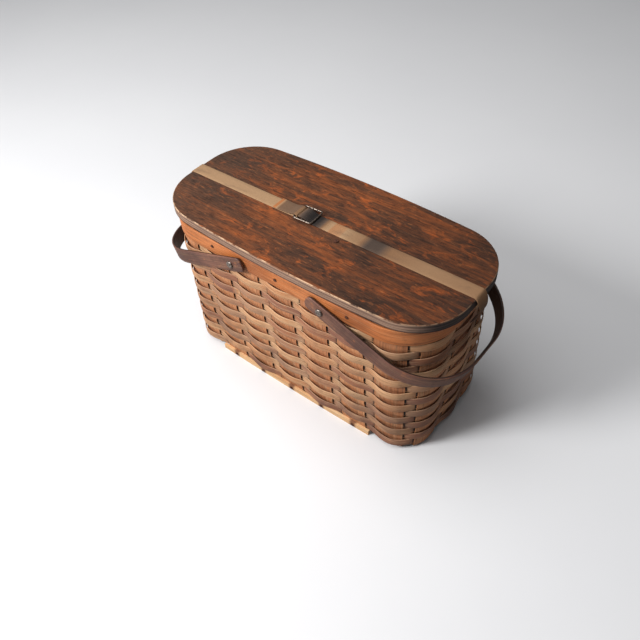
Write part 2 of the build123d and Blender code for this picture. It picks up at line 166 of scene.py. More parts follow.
def fix_normals(obj):
    """Turns every face of the mesh outwards."""
    work = bmesh.new()
    work.from_mesh(obj.data)
    bmesh.ops.recalc_face_normals(work, faces=work.faces)
    work.to_mesh(obj.data)
    work.free()


# Materials
def solid(colour):
    """A plain colour with its fourth number. Anything else is a node's output and stays as it is."""
    return (*colour, 1) if isinstance(colour, tuple) else colour


class Nodes:
    """Short names for building a material's nodes."""

    def __init__(self, name):
        self.material = bpy.data.materials.new(name)
        self.material.use_nodes = True
        self.tree = self.material.node_tree
        self.shader = self.tree.nodes["Principled BSDF"]

    def add(self, kind, **inputs):
        node = self.tree.nodes.new(kind)
        for key, value in inputs.items():
            self.put(node.inputs[key.replace("_", " ")], value)
        return node

    def put(self, socket, value):
        if isinstance(value, bpy.types.NodeSocket):
            self.tree.links.new(value, socket)
        else:
            socket.default_value = value

    def place(self, source, scale, move=(0, 0, 0)):
        """Texture coordinates: 'strip' for the strip's own length and width, 'Object' for the frame's."""
        if source == "strip":
            base = self.tree.nodes.new("ShaderNodeUVMap")
            base.uv_map = "strip"
            out = base.outputs[0]
        else:
            out = self.tree.nodes.new("ShaderNodeTexCoord").outputs["Object"]
        mapping = self.add("ShaderNodeMapping", Vector=out)
        mapping.inputs["Scale"].default_value = scale
        mapping.inputs["Location"].default_value = move
        return mapping.outputs[0]

    def where(self, axis, source="Object"):
        """One of the coordinates by itself, in metres."""
        return self.part(self.place(source, (1, 1, 1)), axis)

    def noise(self, vector, detail, rough, distort=0.0):
        node = self.add("ShaderNodeTexNoise", Vector=vector, Scale=1.0, Detail=detail, Roughness=rough)
        node.inputs["Distortion"].default_value = distort
        return node.outputs["Fac"]

    def ramp(self, value, stops):
        node = self.add("ShaderNodeValToRGB", Fac=value)
        ramp = node.color_ramp
        while len(ramp.elements) < len(stops):
            ramp.elements.new(0.5)
        for element, (place, colour) in zip(ramp.elements, stops):
            element.position = place
            element.color = solid(colour)
        return node.outputs["Color"]

    def level(self, value, low, high, out_low=0.0, out_high=1.0):
        node = self.add("ShaderNodeMapRange", Value=value)
        node.clamp = True
        numbers = {"From Min": low, "From Max": high, "To Min": out_low, "To Max": out_high}
        for key, number in numbers.items():
            node.inputs[key].default_value = number
        return node.outputs[0]

    def mix(self, a, b, share, blend="MIX"):
        node = self.tree.nodes.new("ShaderNodeMix")
        node.data_type = "RGBA"
        node.blend_type = blend
        self.put(node.inputs["Factor"], share)
        self.put(node.inputs[6], solid(a))
        self.put(node.inputs[7], solid(b))
        return node.outputs[2]

    def math(self, kind, a, b=0.0):
        node = self.tree.nodes.new("ShaderNodeMath")
        node.operation = kind
        self.put(node.inputs[0], a)
        self.put(node.inputs[1], b)
        return node.outputs[0]

    def mark(self, name):
        node = self.tree.nodes.new("ShaderNodeAttribute")
        node.attribute_name = name
        return node.outputs["Fac"]

    def part(self, vector, which):
        node = self.add("ShaderNodeSeparateXYZ", Vector=vector)
        return node.outputs[which]

    def bump(self, height, strength, distance):
        node = self.add("ShaderNodeBump", Height=height, Strength=strength, Distance=distance)
        self.put(self.shader.inputs["Normal"], node.outputs[0])

    def finish(self, colour, rough, metallic=0.0):
        self.put(self.shader.inputs["Base Color"], solid(colour))
        self.put(self.shader.inputs["Roughness"], rough)
        self.shader.inputs["Metallic"].default_value = metallic
        return self.material


def linear(r, g, b):
    """A colour picked in screen values, 0 to 255, as the renderer's linear values."""
    return tuple(((c / 255 + 0.055) / 1.055) ** 2.4 if c > 10 else c / 255 / 12.92 for c in (r, g, b))


def strip_wood(
    name, shades, grain=1.0, rough=0.62, dark=0.55, split=0.5, pale=0.3, lit=0.45, grime=0.0, inner_face_painted_shade=1.0
):
    """Wood of a split or bent strip: grain runs along the strip, its colour goes by the strip's tint.

    Where the strip's shade is 1, the middle of its width is painted near black: painted shade of the recess
    between crossing strips.
    The last argument is painted shade on a wide strip's hidden inner face: the share of its colour that
    face keeps."""
    n = Nodes(name)
    fine = n.noise(n.place("strip", (45 * grain, 1400, 1)), 8, 0.7)
    streaks = n.noise(n.place("strip", (12 * grain, 520, 1), (6, 2, 0)), 5, 0.7, 0.3)
    broad = n.noise(n.place("strip", (14, 150, 1), (3, 5, 0)), 5, 0.6, 0.6)
    mottle = n.noise(n.place("strip", (55, 90, 1), (7, 1, 0)), 4, 0.6)
    base = n.ramp(n.mark("tint"), [(i / (len(shades) - 1), c) for i, c in enumerate(shades)])
    warm = n.mix(base, linear(198, 122, 70), n.level(mottle, 0.42, 0.3, 0, 0.45))
    light = n.mix(warm, linear(226, 186, 144), n.level(broad, 0.5, 0.72, 0, lit))
    worn = n.mix(light, tuple(c * 0.62 for c in shades[0]), n.level(mottle, 0.54, 0.75, 0, dark))
    grained = n.mix(worn, n.level(fine, 0.32, 0.5, 0.55, 1.0), 0.75, "MULTIPLY")
    streaked = n.mix(grained, n.level(streaks, 0.36, 0.54, 0.55, 1.08), 0.85, "MULTIPLY")
    across = n.math("ABSOLUTE", n.where("Y", "strip"))
    # Pale edges: partly wear, partly a painted highlight
    worn_and_highlit_edges = n.mix(streaked, linear(232, 196, 156), n.level(across, 0.0054, 0.0061, 0, pale))
    cracks = n.noise(n.place("strip", (13, 560, 1), (1, 9, 0)), 3, 0.5)
    split_wood = n.mix(worn_and_highlit_edges, linear(45, 28, 20), n.level(cracks, 0.62, 0.68, 0, split))
    if grime:
        patches = n.noise(n.place("Object", (13, 13, 17), (3, 1, 4)), 4, 0.6)
        low = n.level(n.where("Z"), 0.13, 0.02)
        dirty = n.math("MULTIPLY", n.level(patches, 0.44, 0.58), low)
        split_wood = n.mix(split_wood, linear(96, 66, 56), n.math("MULTIPLY", dirty, grime))
    # Painted shade: near black over the middle of the width where the shade mark is 1, for the recess
    # beside a stake
    recess_painted_shade = n.math("MULTIPLY", n.mark("shade"), n.level(across, 0.0047, 0.0034))
    shown = n.mix(split_wood, linear(14, 7, 4), recess_painted_shade)
    # Painted shade on the hidden inner face of a wide strip
    if inner_face_painted_shade < 1:
        shown = n.mix(shown, (inner_face_painted_shade, inner_face_painted_shade, inner_face_painted_shade), n.level(across, 0.013, 0.016), "MULTIPLY")
    n.bump(n.math("ADD", streaks, n.math("MULTIPLY", cracks, -0.6)), 0.5, 0.0006)
    return n.finish(shown, n.level(broad, 0.3, 0.7, rough - 0.1, rough + 0.12))


def frame_wood(name, light, base, dark, grain_axis, rough=0.6):
    """Wood in the frame's own coordinates, with its grain along one axis."""
    n = Nodes(name)
    stretch = [260.0, 260.0, 260.0]
    stretch[grain_axis] = 9.0
    fine = n.noise(n.place("Object", tuple(s * 3.2 for s in stretch)), 8, 0.7)
    broad = n.noise(n.place("Object", tuple(s * 0.22 for s in stretch)), 5, 0.6, 0.4)
    colour = n.mix(base, light, n.level(broad, 0.5, 0.75))
    colour = n.mix(colour, dark, n.level(broad, 0.48, 0.3, 0, 0.5))
    colour = n.mix(colour, n.level(fine, 0.35, 0.55, 0.6, 1.0), 0.7, "MULTIPLY")
    n.bump(fine, 0.4, 0.0005)
    return n.finish(colour, rough)


def runner_material():
    """Pale strip wood with a rusty stain along the grain at each nail."""
    n = Nodes("runner_wood")
    fine = n.noise(n.place("Object", (28, 830, 830)), 8, 0.7)
    broad = n.noise(n.place("Object", (9, 57, 57)), 5, 0.6, 0.4)
    colour = n.mix(linear(226, 178, 128), linear(240, 202, 156), n.level(broad, 0.5, 0.75))
    colour = n.mix(colour, linear(180, 124, 80), n.level(broad, 0.48, 0.3, 0, 0.6))
    colour = n.mix(colour, n.level(fine, 0.35, 0.55, 0.6, 1.0), 0.7, "MULTIPLY")
    pitch = stake_pitch * mm
    along = n.math("ADD", n.where("X"), pitch * 3.5)
    past_middle = n.math("SUBTRACT", n.math("MODULO", along, pitch), pitch / 2)
    from_nail = n.math("ABSOLUTE", past_middle)
    stain = n.math("ADD", n.level(from_nail, 0.009, 0.002, 0, 1), n.level(fine, 0.3, 0.7, -0.35, 0.2))
    colour = n.mix(colour, linear(112, 62, 40), n.level(stain, 0.2, 0.8, 0, 0.85))
    n.bump(fine, 0.4, 0.0005)
    return n.finish(colour, 0.65)


def metal(name, colour, dark, rough, scale, metallic=0.9):
    """Metal with dull dark spots."""
    n = Nodes(name)
    spots = n.noise(n.place("Object", (scale, scale, scale)), 6, 0.65)
    n.bump(spots, 0.35, 0.0004)
    shown = n.mix(dark, colour, n.level(spots, 0.4, 0.62))
    return n.finish(shown, n.level(spots, 0.35, 0.7, rough + 0.2, rough), metallic)


weaver_shades = [
    linear(142, 94, 74), linear(168, 110, 78), linear(176, 134, 104),
    linear(192, 134, 92), linear(210, 164, 122), linear(200, 142, 98),
]
weaver_wood = strip_wood("weaver_wood", weaver_shades, grime=0.8)
band_shades = [linear(156, 86, 42), linear(196, 114, 58), linear(206, 128, 76)]
band_wood = strip_wood("band_wood", band_shades, dark=0.5, split=0.35, pale=0, lit=0.15)
handle_shades = [linear(80, 50, 42), linear(108, 71, 58), linear(130, 86, 68)]
# The handle's inner face gets painted shade
handle_wood = strip_wood(
    "handle_wood", handle_shades, rough=0.55, dark=0.6, split=0.4, pale=0, lit=0.12, inner_face_painted_shade=0.25
)
stake_shades = [linear(150, 98, 64), linear(186, 120, 78), linear(204, 142, 96)]
stake_wood = strip_wood("stake_wood", stake_shades, grain=0.6, dark=0.45, split=0.35, pale=0)
runner_wood = runner_material()
hoop_wood = frame_wood("hoop_wood", linear(190, 140, 96), linear(160, 108, 70), linear(110, 72, 48), 0)
insulation_skin = frame_wood(
    "insulation_skin", linear(120, 96, 70), linear(92, 70, 50), linear(58, 42, 30), 2, rough=0.9
)
nail_metal = metal("nail_metal", linear(120, 74, 54), linear(52, 34, 28), 0.55, 900.0, 0.5)
rivet_metal = metal("rivet_metal", linear(176, 166, 158), linear(86, 72, 66), 0.3, 500.0)
washer_metal = metal("washer_metal", linear(112, 88, 78), linear(64, 48, 42), 0.5, 600.0, 0.5)
liner_metal = metal("liner_metal", linear(196, 200, 204), linear(150, 154, 158), 0.35, 40.0)
iron = metal("iron", linear(168, 152, 138), linear(44, 34, 30), 0.36, 500.0)


def lid_material():
    """Old plywood-like board: mottled top, a pale upper edge that is partly wear and partly a painted
    highlight, and thin layers down its side; painted shade darkens its right end.
    """
    n = Nodes("lid_oak")
    grain = n.noise(n.place("Object", (26, 620, 620)), 9, 0.72)
    streaks = n.noise(n.place("Object", (7, 95, 95), (2, 4, 0)), 6, 0.66, 0.7)
    patches = n.noise(n.place("Object", (9, 22, 22), (5, 0, 1)), 5, 0.6, 0.5)
    blotch = n.noise(n.place("Object", (34, 70, 70), (1, 8, 2)), 6, 0.7, 0.8)
    flecks = n.noise(n.place("Object", (75, 330, 330), (4, 4, 4)), 7, 0.75, 0.4)
    colour = n.mix(linear(94, 62, 46), linear(142, 82, 48), n.level(streaks, 0.44, 0.62))
    colour = n.mix(colour, linear(62, 48, 42), n.level(patches, 0.48, 0.64, 0, 0.8))
    colour = n.mix(colour, linear(186, 100, 50), n.level(blotch, 0.55, 0.68, 0, 0.8))
    along = n.where("X")
    end_dirt = n.math("MULTIPLY", n.level(along, -0.1, -0.2), 0.6)
    colour = n.mix(colour, linear(84, 66, 58), end_dirt)
    colour = n.mix(colour, linear(34, 24, 22), n.level(flecks, 0.47, 0.38, 0, 0.6))
    colour = n.mix(colour, linear(188, 120, 74), n.level(flecks, 0.57, 0.66, 0, 0.5))
    colour = n.mix(colour, n.level(grain, 0.34, 0.56, 0.42, 1.06), 0.75, "MULTIPLY")
    colour = n.mix((0.93, 0.85, 0.73), colour, 1.0, "MULTIPLY")
    # Painted shade: the top darkens towards the right end
    colour = n.mix(colour, (0.66, 0.66, 0.68), n.level(along, 0.03, 0.19), "MULTIPLY")

    # The side: thin layers of different browns, with painted shade making them darker and bluer at the
    # right end
    side = side_layers(n, linear(176, 142, 120), linear(78, 58, 52), linear(140, 110, 94))
    side = n.mix(side, (0.22, 0.25, 0.32), n.level(along, 0.19, 0.225), "MULTIPLY")
    upness = n.part(n.tree.nodes.new("ShaderNodeNewGeometry").outputs["Normal"], "Z")
    colour = n.mix(side, colour, n.level(upness, 0.2, 0.5))
    # The pale upper edge: partly wear, partly a painted highlight
    rim_wear_and_highlight = n.math("MULTIPLY", n.level(upness, 0.1, 0.4), n.level(upness, 0.985, 0.88))
    chips = n.noise(n.place("Object", (60, 60, 60)), 6, 0.7)
    worn = n.math("MULTIPLY", rim_wear_and_highlight, n.level(chips, 0.42, 0.54, 0.05, 0.9))
    # Painted shade: the pale edge fades towards the right end
    worn = n.math("MULTIPLY", worn, n.level(along, 0.13, 0.2, 1, 0.35))
    colour = n.mix(colour, linear(208, 172, 138), worn)
    n.bump(n.math("ADD", grain, n.math("MULTIPLY", blotch, 0.5)), 0.45, 0.0006)
    n.shader.inputs["Specular IOR Level"].default_value = 0.22
    return n.finish(colour, n.level(blotch, 0.3, 0.7, 0.6, 0.8))


def side_layers(n, light, dark, plain):
    """Thin uneven bands of three colours by height, down the lid's side."""
    uneven = n.noise(n.place("Object", (24, 24, 90)), 4, 0.6)
    height = n.where("Z")
    height = n.math("ADD", height, n.level(uneven, 0.3, 0.7, -0.0006, 0.0006))
    place = n.level(height, lid_bottom * mm, lid_top * mm)
    stops = [
        (0, dark), (0.06, dark), (0.12, plain), (0.3, light), (0.36, dark),
        (0.42, light), (0.66, plain), (0.72, dark), (0.79, light), (1, light),
    ]
    streak = n.noise(n.place("Object", (18, 18, 500)), 6, 0.7)
    return n.mix(n.ramp(place, stops), n.level(streak, 0.35, 0.6, 0.5, 1.0), 0.8, "MULTIPLY")


def webbing_material():
    """Ribbed cotton whose tint runs from black, a painted shadow of the buckle, through dirt to clean, and
    to orange at 1.
    """
    n = Nodes("cotton_webbing")
    weave = n.add("ShaderNodeTexWave", Vector=n.place("strip", (1, 1, 1)), Scale=420.0)
    weave.bands_direction = "DIAGONAL"
    ribs = n.add("ShaderNodeTexWave", Vector=n.place("strip", (1, 1, 1)), Scale=150.0)
    ribs.bands_direction = "Y"
    dirt = n.noise(n.place("strip", (22, 60, 1)), 6, 0.65)
    # The black first stop is painted shadow of the buckle
    shades = [
        (0, linear(30, 22, 19)), (0.3, linear(88, 70, 58)), (0.6, linear(140, 102, 70)),
        (0.9, linear(176, 140, 104)), (1, linear(178, 112, 64)),
    ]
    colour = n.ramp(n.mark("tint"), shades)
    colour = n.mix(colour, linear(96, 74, 60), n.level(dirt, 0.54, 0.78, 0, 0.5))
    colour = n.mix(colour, n.level(weave.outputs["Fac"], 0, 1, 0.84, 1.0), 0.8, "MULTIPLY")
    height = n.math("ADD", n.math("MULTIPLY", weave.outputs["Fac"], 0.6), ribs.outputs["Fac"])
    n.bump(height, 0.5, 0.0004)
    return n.finish(colour, 0.9)


lid_oak = lid_material()
webbing = webbing_material()


def wear(obj, material):
    """Gives the object this one material."""
    obj.data.materials.clear()
    obj.data.materials.append(material)


# The solids that keep their own shape
kept_solids = [
    (nail_metal, ("rim_nails", "runner_nails", "lid_rivet")),
    (runner_wood, ("runner_front", "runner_back")),
    (hoop_wood, ("inner_hoop",)),
    (insulation_skin, ("insulation_wall", "insulation_floor", "lid_insulation")),
    (liner_metal, ("liner_tub", "lid_pan")),
    (rivet_metal, ("handle_rivets",)),
    (washer_metal, ("rivet_washers",)),
    (lid_oak, ("lid_board",)),
]
for material, names in kept_solids:
    for name in names:
        wear(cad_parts[name], material)


# Stakes and weavers: each ring goes out over one stake and in behind the next
cross_centres = [stake_pitch * (i - 3) for i in range(7)]
corner_centre = (corner_inner + corner_outer) / 2
column_marks = [("side", x, -1) for x in cross_centres]
column_marks += [("end", y, 1) for y in (-corner_centre, 0, corner_centre)]
column_marks += [("side", x, 1) for x in reversed(cross_centres)]
column_marks += [("end", y, -1) for y in (corner_centre, 0, -corner_centre)]


# An end wall's points lie further out than this
end_wall_x = 100


@functools.lru_cache(maxsize=None)
def column_spans(height):
    """Where each stake starts and ends along the wall line, as run lengths."""
    points, _, run = wall_loop(height)
    step = run / loop_points
    spans = []
    for kind, centre, sign in column_marks:
        half = stake_half if kind == "side" or centre == 0 else (corner_outer - corner_inner) / 2
        axis = 0 if kind == "side" else 1
        other = 1 - axis
        place = points[:, axis]
        facing = points[:, other] * sign > (0 if kind == "side" else end_wall_x)
        near = np.where(facing & (np.abs(place - centre) <= half))[0]
        if near[0] == 0 and near[-1] == len(points) - 1:
            gap = np.where(np.diff(near) > 1)[0][0]
            low, high = near[gap + 1] - len(points), near[gap]
        else:
            low, high = near[0], near[-1]
        spans.append((low * step, high * step))
    return spans


# A stake's offset from the wall line where it stands out and where it goes in
stake_out, stake_in = 1.4, -0.8
stake_thickness = 1.2

# Over how many courses that offset fades in at the foot and at the rim
rows_to_settle = 0.8


def stake_push(column, height):
    """How far a stake stands out: out where its weaver is behind it, in where the weaver is over it."""
    row = (height - first_course) / course_pitch
    if row < -0.5 or row > course_count - 0.5:
        return 0.0
    over = 0.5 * (1 + math.cos(math.pi * (row + column)))
    edge = min((row + 0.5) / rows_to_settle, (course_count - 0.5 - row) / rows_to_settle, 1)
    return (stake_out + (stake_in - stake_out) * over) * edge


def wall_rows(column, heights, count=9):
    """Rows of points across one stake on the wall, one row for each height."""
    rows = []
    for height in heights:
        points, normals, run = wall_loop(height)
        low, high = column_spans(height)[column]
        index = np.round(np.linspace(low, high, count) / run * len(points)).astype(int) % len(points)
        flat = points[index] + normals[index] * stake_push(column, height)
        rows.append(np.column_stack([flat, np.full(count, float(height))]))
    return rows


# How far across the stake's inner face lies in its 'strip' coordinates
inner_sheet_shift = 80


def sheet_strip(name, rows, thickness, tone):
    """A thin bent sheet through rows of points, all in mm."""
    grid = np.array(rows)
    down = np.gradient(grid, axis=0)
    side = np.gradient(grid, axis=1)
    face = np.cross(side, down)
    face /= np.linalg.norm(face, axis=2)[..., None]
    long, wide = grid.shape[:2]
    run = np.concatenate([[0], np.cumsum(np.linalg.norm(np.diff(grid[:, wide // 2], axis=0), axis=1))])
    reach = np.linspace(-stake_half, stake_half, wide)
    verts, uvs = [], []
    for layer in (0.5, -0.5):
        for i in range(long):
            for j in range(wide):
                verts.append((grid[i, j] + face[i, j] * thickness * layer) * mm)
                shift = 0 if layer > 0 else inner_sheet_shift
                uvs.append((run[i] * mm, (reach[j] + shift) * mm))
    back = long * wide
    faces = []
    for i in range(long - 1):
        for j in range(wide - 1):
            a = i * wide + j
            faces.append((a, a + 1, a + wide + 1, a + wide))
            faces.append((a + back + wide, a + back + wide + 1, a + back + 1, a + back))
        for a in (i * wide, i * wide + wide - 1):
            faces.append((a, a + wide, a + wide + back, a + back))
    for j in range(wide - 1):
        for a in (j, (long - 1) * wide + j):
            faces.append((a, a + 1, a + 1 + back, a + back))
    obj = mesh_object(name, verts, faces, uvs, {"tint": np.full(len(verts), tone)})
    fix_normals(obj)
    return obj


# Each stake goes down one wall, along the floor and up the other. A long one goes over and under the cross
# stakes, out to this many pitches from the middle
wall_heights = np.concatenate([np.arange(246, 6, -2.2), [5.5, 4.2]])
floor_middle, floor_step = 3.6, 1.6
floor_rows = 60
woven_pitches = 3.4

# Name, first column, last column, and for a long stake its number from the front
stake_pairs = [(f"stake_cross_{i + 1}", i, 16 - i, 0) for i in range(7)]
stake_pairs += [
    ("stake_long_front", 7, 19, 1),
    ("stake_long_middle", 8, 18, 2),
    ("stake_long_back", 9, 17, 3),
]
for name, start_column, end_column, kind in stake_pairs:
    start_wall = wall_rows(start_column, wall_heights)
    end_wall = [row[::-1] for row in wall_rows(end_column, wall_heights[::-1])]
    under = []
    for share in np.linspace(0.01, 0.99, floor_rows):
        row = start_wall[-1] * (1 - share) + end_wall[0] * share
        pitches = row[0, 0] / stake_pitch
        woven = kind and abs(pitches) < woven_pitches
        wave = math.cos(math.pi * (pitches + kind)) if woven else 0
        row[:, 2] = floor_middle + floor_step * wave
        under.append(row)
    tone = chance.uniform(0.35, 0.75)
    stake = sheet_strip(f"{name}_splint", start_wall + under + end_wall, stake_thickness, tone)
    wear(stake, stake_wood)
    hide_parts(name)
    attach(stake, "basket")

# A weaver's offset from the wall line, at a stake's edge and how much more at its middle
over_edge, over_bulge = 1.8, 3.5
behind_edge, behind_bulge = -1.1, -0.5

# A weaver bulges by this share of the rest at the corners. Beside each stake that it passes behind it has
# painted shade, darkening a recess this long, darkest over its core, where it rises a little towards the
# front
corner_bulge = 0.55
painted_recess_length = 3.2
painted_recess_core = 0.7
core_rise, end_rise = 0.5, 0.8
weaver_thickness, weaver_cup = 0.9, 0.35

# Its tone starts anew now and then, and drifts at every stake
new_tone_chance, tone_drift = 0.16, 0.12

# Its offset is blurred over this many points of the wall line
blur_points, blur_margin = 25, 20


def weaver_profile(course, height):
    """The weaver's offset, height, width, tint and shade at even points round the wall."""
    run = wall_loop(height)[2]
    keys = []
    tone = chance.uniform(0.25, 0.85)
    for index, (low, high) in enumerate(column_spans(height)):
        outside = (index + course) % 2 == 0
        if not outside and chance.random() < new_tone_chance:
            tone = chance.uniform(0.0, 1.0)
        tone = float(np.clip(tone + chance.normal(0, tone_drift), 0.0, 1.0))
        at_corner = column_marks[index][0] == "end" and column_marks[index][1] != 0
        rise = chance.uniform(0.88, 1.08) * (corner_bulge if at_corner else 1)
        drop = chance.normal(0, 0.18)
        width = chance.uniform(12.6, 13.0)
        for share in np.linspace(-1, 1, 17):
            hump = 1 - share**2
            offset = behind_edge + behind_bulge * hump
            if outside:
                offset = over_edge + over_bulge * rise * hump
            place = (low + high) / 2 + share * (high - low) / 2
            keys.append((place, offset, drop, width, tone, 0 if outside else 1))
        if not outside:
            # Painted recess shade beside each edge of the stake it passes behind
            for edge, step in ((low, -painted_recess_length), (high, painted_recess_length)):
                keys.append((edge + step * painted_recess_core, behind_edge + core_rise, drop, width, tone, 1))
                keys.append((edge + step, behind_edge + end_rise, drop, width, tone, 0))
    keys = np.array(keys)
    keys[:, 0] %= run
    keys = keys[np.argsort(keys[:, 0])]
    spread = np.arange(loop_points) * run / loop_points
    profile = [np.interp(spread, keys[:, 0], keys[:, k], period=run) for k in range(1, 6)]
    kernel = np.hanning(blur_points)
    kernel /= kernel.sum()
    wrapped = np.concatenate([profile[0][-blur_margin:], profile[0], profile[0][:blur_margin]])
    profile[0] = np.convolve(wrapped, kernel, "same")[blur_margin:-blur_margin]
    return profile


for course in range(course_count):
    height = first_course + course_pitch * course
    points, normals, _ = wall_loop(height)
    offset, drop, width, tint, shade = weaver_profile(course, height)
    pick = np.append(np.arange(0, len(points), 3), 0)
    path = np.column_stack([points + normals * offset[:, None], height + drop])[pick]
    out = np.column_stack([normals, np.zeros(len(points))])[pick]
    up = np.tile([0.0, 0.0, 1.0], (len(pick), 1))
    strip = ribbon(
        f"weaver_strip_{course + 1:02d}", path, up, out, width[pick], weaver_thickness, closed=True,
        cup=weaver_cup, tint=tint[pick], shade=shade[pick],
    )
    wear(strip, weaver_wood)
    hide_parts(f"weaver_{course + 1:02d}")
    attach(strip, "basket")


# Rim band: one bent strip round the wall's top, leaning out with the wall
band_low, band_high = 221.5, 246.0
band_offset, band_thickness = 2.5, 3.0
band_middle = (band_low + band_high) / 2
points, normals, _ = wall_loop(band_middle)
pick = np.append(np.arange(0, len(points), 6), 0)
lean = (rim[1] - foot[1]) / rim_height
path = np.column_stack([points + normals * band_offset, np.full(len(points), band_middle)])[pick]
out = np.column_stack([normals, np.zeros(len(points))])[pick]
up = np.column_stack([normals[pick] * lean, np.ones(len(pick))])
up /= np.linalg.norm(up, axis=1)[:, None]
steps = np.arange(len(pick))
band_tint = 0.5 + 0.4 * np.sin(steps * 0.11) * np.sin(steps * 0.037)
band_tint[-1] = band_tint[0]
rim_band = ribbon(
    "rim_band_strip", path, up, out, band_high - band_low, band_thickness, closed=True, round_edge=0.6,
    tint=band_tint,
)
wear(rim_band, band_wood)
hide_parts("rim_band")
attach(rim_band, "basket")


# Handles: a strip bent to a hoop
pivot_x, pivot_height = 78.0, 226.0
handle_reach, handle_tail, handle_centre_y = 190.0, 24.0, 109.7
handle_thickness, handle_width, handle_corner = 3.8, 22.6, 88.1
droop = math.radians(20)

# Over this length each arm's tip rounds off, and this share of its width is gone at the very end
tip_length, tip_narrowing = 8.0, 0.62


def handle_path():
    """Centre line of the hoop in its own plane, as (along, across, outward x, outward y)."""
    far = handle_reach - handle_thickness / 2
    corner_x = far - handle_corner
    corner_y = handle_corner - handle_centre_y
    line = []
    for x in np.linspace(-handle_tail, corner_x, 60, endpoint=False):
        line.append((x, -handle_centre_y, 0, -1))
    for degrees in np.linspace(-90, 0, 48, endpoint=False):
        c, s = math.cos(math.radians(degrees)), math.sin(math.radians(degrees))
        line.append((corner_x + handle_corner * c, corner_y + handle_corner * s, c, s))
    for y in np.linspace(corner_y, 0, 12):
        line.append((far, y, 1, 0))
    line = np.array(line)
    back = line[::-1][1:] * [1, -1, 1, -1]
    return np.vstack([line, back])


for side, end in (("left", -1), ("right", 1)):
    line = handle_path()
    along = np.array([end * math.cos(droop), 0, -math.sin(droop)])
    normal = np.array([end * math.sin(droop), 0, math.cos(droop)])
    start = np.array([end * pivot_x, 0, pivot_height])
    path = start + line[:, :1] * along + line[:, 1:2] * np.array([0, 1.0, 0])
    out = line[:, 2:3] * along + line[:, 3:4] * np.array([0, 1.0, 0])
    tip = np.clip((line[:, 0] + handle_tail) / tip_length, 0, 1)
    taper = 1 - (1 - np.sqrt(1 - (1 - tip) ** 2)) * tip_narrowing
    tones = 0.5 + 0.3 * np.sin(np.arange(len(line)) * 0.09 + end) + chance.normal(0, 0.03, len(line))
    hoop = ribbon(
        f"handle_strip_{side}", path, np.tile(normal, (len(line), 1)), out, handle_width * taper,
        handle_thickness, round_edge=1.2, tint=tones,
    )
    wear(hoop, handle_wood)
    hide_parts(f"handle_{side}")
    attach(hoop, f"handle_{side}")


# Strap: two lengths of webbing that meet at the buckle
strap_lift, strap_thickness, drawn_thickness = 0.1, 1.6, 1.5
strap_y, strap_turn = -3.5, math.radians(0.8)
along_strap = np.array([math.cos(strap_turn), math.sin(strap_turn), 0])
across_strap = np.array([-math.sin(strap_turn), math.cos(strap_turn), 0])
strap_origin = np.array([0, strap_y, 0])


def smooth_line(corners, step=1.5, rounds=3):
    """A polyline with its corners cut round, sampled evenly."""
    line = [np.array(c, float) for c in corners]
    for _ in range(rounds):
        cut = [line[0]]
        for a, b in zip(line, line[1:]):
            cut += [a * 0.75 + b * 0.25, a * 0.25 + b * 0.75]
        line = cut + [line[-1]]
    line = np.array(line)
    lengths = np.concatenate([[0], np.cumsum(np.linalg.norm(np.diff(line, axis=0), axis=1))])
    even = np.linspace(0, lengths[-1], max(int(lengths[-1] / step), 8))
    return np.column_stack([np.interp(even, lengths, line[:, k]) for k in range(line.shape[1])])


def strap_piece(name, corners, widths, tones):
    """Webbing along (x, z) corners in the strap's plane. widths and tones are (run share, value) pairs."""
    line = smooth_line(corners)
    share = np.linspace(0, 1, len(line))
    tangent = np.gradient(line, axis=0)
    tangent /= np.linalg.norm(tangent, axis=1)[:, None]
    path = strap_origin + line[:, :1] * along_strap + line[:, 1:2] * np.array([0, 0, 1.0])
    out = -tangent[:, 1:2] * along_strap + tangent[:, :1] * np.array([0, 0, 1.0])
    width = np.interp(share, *zip(*widths))
    tint = np.interp(share, *zip(*tones))
    across = np.tile(across_strap, (len(line), 1))
    piece = ribbon(name, path, across, out, width, drawn_thickness, round_edge=0.5, tint=tint)
    wear(piece, webbing)
    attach(piece, "lid")
    return piece


# The strap's middle line where it lies on the lid
top = lid_top + 0.95
left = strap_piece(
    "webbing_left",
    [
        (-233.6, 211.5), (-246.0, 238), (-246.0, 250), (-240.6, top - 0.4), (-236, top),
        (-60, top), (-46, top + 0.6), (-43.4, top + 0.8), (-36.6, top + 1.0),
        (-36.4, top + 4.6), (-43.0, top + 5.0), (-50, top + 2.4), (-56, top + 1.9), (-79, top + 1.7),
    ],
    [(0, 9.0), (0.12, 22.0), (0.9, 22.0), (1, 23.0)],
    [(0, 0.5), (0.05, 0.8), (0.85, 0.88), (0.88, 0.4), (0.97, 0.45), (0.985, 1), (1, 1)],
)
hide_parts("strap_left")
right = strap_piece(
    "webbing_right",
    [
        (-34, top + 4.4), (-27, top + 4.9), (-20, top + 3.0), (-15, top + 0.4), (-8, top),
        (236, top), (240.6, top - 0.4), (246.0, 250), (246.0, 238), (233.6, 211.5),
    ],
    [(0, 22.0), (0.86, 22.0), (0.9, 19.0), (0.94, 13.0), (1, 6.0)],
    # Near its start, in and beside the buckle, the strap is painted black as the buckle's shadow
    [
        (0, 0.45), (0.02, 0.12), (0.04, 0.0), (0.09, 0.0), (0.11, 0.3), (0.13, 0.75),
        (0.16, 0.96), (0.21, 0.94), (0.25, 0.75), (0.3, 0.68), (0.34, 0.2), (0.39, 0.22),
        (0.44, 0.6), (0.6, 0.72), (0.84, 0.66), (0.9, 0.4), (1, 0.2),
    ],
)
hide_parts("strap_right")


